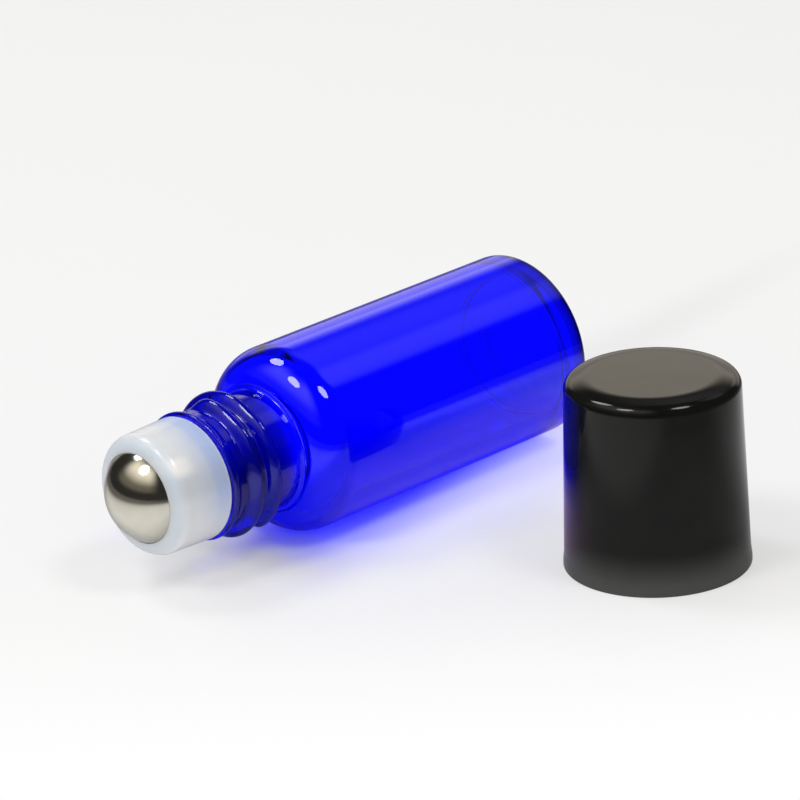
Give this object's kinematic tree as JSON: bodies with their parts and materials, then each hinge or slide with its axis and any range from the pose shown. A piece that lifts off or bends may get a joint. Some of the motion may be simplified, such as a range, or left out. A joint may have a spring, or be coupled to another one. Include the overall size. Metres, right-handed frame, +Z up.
{
  "type": "roll on bottle",
  "caption": "Small glass roll on bottle lying on its side: press-in roller housing with a steel ball, and its screw cap taken off and standing beside it.",
  "frame": {"origin": "middle of the ground under the whole, with the bottle lying and the cap standing on Z = 0", "axes": "+X along the bottle from the ball to the base, +Y from the cap towards the bottle, +Z up"},
  "size_m": [0.0584, 0.0552, 0.0203],
  "materials": {
    "blue_glass": "clear cobalt blue, fire polished",
    "milky_plastic": "translucent milky white, satin as moulded",
    "polished_steel": "ground and polished stainless steel",
    "black_plastic": "gloss black, smooth moulded"
  },
  "bodies": {
    "bottle": {"bottle": "blue_glass"},
    "housing": {"roller_housing": "milky_plastic"},
    "ball": {"roller_ball": "polished_steel"},
    "cap": {"cap": "black_plastic"}
  },
  "joints": [
    {"name": "housing_pull", "type": "slide", "parent": "bottle", "child": "housing", "axis": [-1, 0, 0], "range_m": [0, 0.02]},
    {"name": "ball_roll", "type": "hinge", "parent": "housing", "child": "ball", "pos_m": [-0.02368, 0.01765, 0.01], "axis": [0, 1, 0], "continuous": true},
    {"name": "cap_lift", "type": "slide", "parent": "bottle", "child": "cap", "axis": [0, 0, 1], "range_m": [0, 0.05]}
  ]
}
